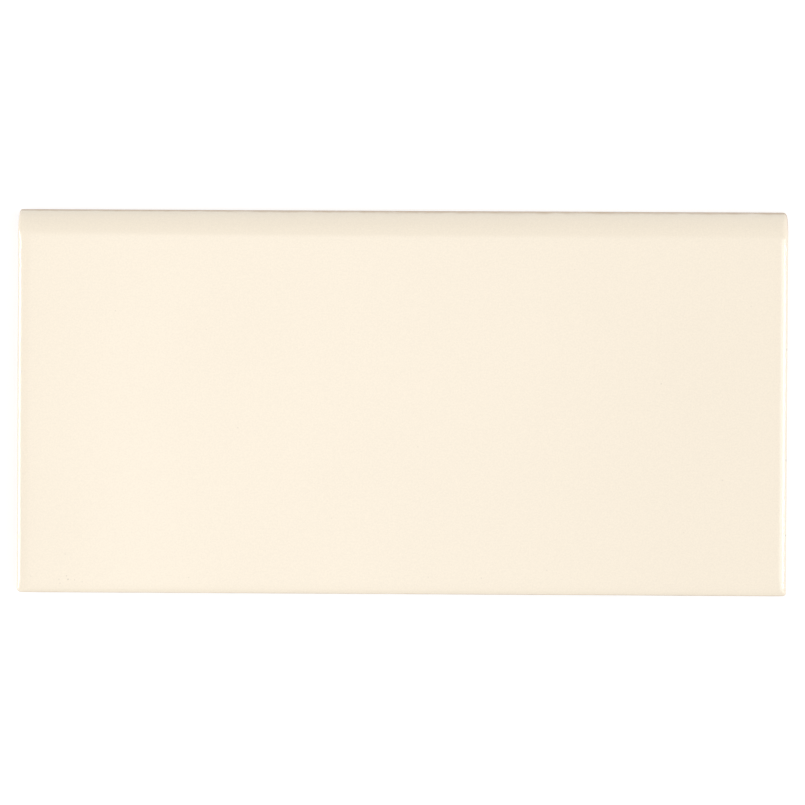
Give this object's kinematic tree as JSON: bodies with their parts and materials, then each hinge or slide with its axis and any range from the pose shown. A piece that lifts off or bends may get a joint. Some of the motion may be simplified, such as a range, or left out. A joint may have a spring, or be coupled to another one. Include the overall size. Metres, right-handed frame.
{
  "type": "bullnose subway tile",
  "caption": "Rectangular glazed ceramic wall tile with one long edge rounded over as a bullnose, softly cushioned other edges and a ribbed back for adhesive.",
  "frame": {"origin": "middle of the back plane, on which the tile lies", "axes": "+X along the tile's length, +Y towards the bullnose edge, +Z out of the glazed face"},
  "size_m": [0.1524, 0.076, 0.0079],
  "materials": {
    "glaze": "gloss"
  },
  "bodies": {
    "root": {"tile": "glaze"}
  },
  "joints": []
}
